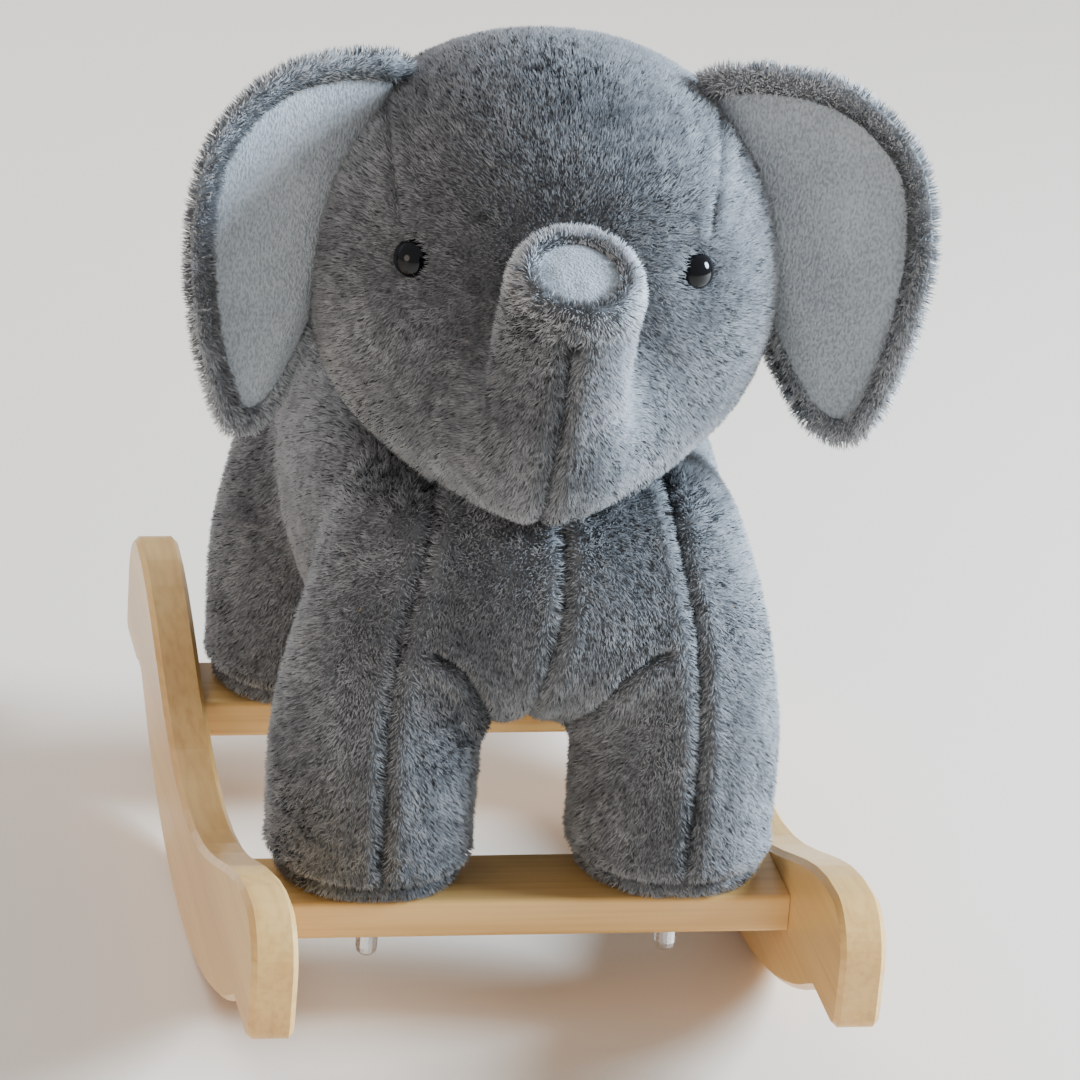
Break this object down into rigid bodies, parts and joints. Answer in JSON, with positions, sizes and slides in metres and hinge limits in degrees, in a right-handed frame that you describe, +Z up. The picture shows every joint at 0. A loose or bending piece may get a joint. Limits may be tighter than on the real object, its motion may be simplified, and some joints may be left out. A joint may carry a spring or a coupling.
{
  "type": "plush rocking elephant",
  "caption": "Stuffed plush elephant with curled-up trunk, standing on two wooden cross slats between curved wooden rockers, for a toddler to sit on and rock.",
  "frame": {"origin": "on the floor, midway between the rocker tips and midway between the two rockers", "axes": "+Z up, +Y towards the tail, so the elephant faces -Y; +X is on the right of someone looking at its face"},
  "size_m": [0.4018, 0.556, 0.543],
  "materials": {
    "rocker_wood": "satin clear lacquer on pale close-grained hardwood",
    "slat_wood": "satin clear lacquer on pale close-grained hardwood",
    "inner_wood": "bare sanded timber",
    "fur": "dense short plush pile, slate grey with frosted tips, over stuffing",
    "velour": "short smooth velour, light blue-grey",
    "zinc": "bright zinc plate",
    "eye_plastic": "polished black",
    "washer_plastic": "moulded"
  },
  "bodies": {
    "frame": {"rocker_left": "rocker_wood", "eye_left": "eye_plastic", "eye_washer_left": "washer_plastic", "rocker_right": "rocker_wood", "eye_right": "eye_plastic", "eye_washer_right": "washer_plastic", "slat_front": "slat_wood", "dowel_front_left_fore": "inner_wood", "dowel_front_left_aft": "inner_wood", "leg_post_front_left": "inner_wood", "seat_screw_front_left": "zinc", "bolt_front_left": "zinc", "washer_front_left": "zinc", "dome_nut_front_left": "zinc", "dowel_front_right_fore": "inner_wood", "dowel_front_right_aft": "inner_wood", "leg_post_front_right": "inner_wood", "seat_screw_front_right": "zinc", "bolt_front_right": "zinc", "washer_front_right": "zinc", "dome_nut_front_right": "zinc", "slat_rear": "slat_wood", "dowel_rear_left_fore": "inner_wood", "dowel_rear_left_aft": "inner_wood", "leg_post_rear_left": "inner_wood", "seat_screw_rear_left": "zinc", "bolt_rear_left": "zinc", "washer_rear_left": "zinc", "dome_nut_rear_left": "zinc", "dowel_rear_right_fore": "inner_wood", "dowel_rear_right_aft": "inner_wood", "leg_post_rear_right": "inner_wood", "seat_screw_rear_right": "zinc", "bolt_rear_right": "zinc", "washer_rear_right": "zinc", "dome_nut_rear_right": "zinc", "seat_board": "inner_wood", "body_plush": "fur", "head_plush": "fur", "trunk_plush": "fur", "trunk_tip_disc": "velour"},
    "ear_left": {"ear_back_left": "fur", "ear_panel_left": "velour"},
    "ear_right": {"ear_back_right": "fur", "ear_panel_right": "velour"},
    "tail": {"tail_plush": "fur"}
  },
  "joints": [
    {"name": "ear_left_flap", "type": "hinge", "parent": "frame", "child": "ear_left", "pos_m": [-0.0747, -0.0388, 0.523], "axis": [-0.3491, -0.12, -0.9294], "range_deg": [-12, 35]},
    {"name": "ear_right_flap", "type": "hinge", "parent": "frame", "child": "ear_right", "pos_m": [0.0762, -0.0573, 0.523], "axis": [-0.3491, 0.12, 0.9294], "range_deg": [-12, 35]},
    {"name": "tail_lift", "type": "hinge", "parent": "frame", "child": "tail", "pos_m": [0, 0.222, 0.268], "axis": [1, 0, 0], "range_deg": [0, 70]}
  ]
}
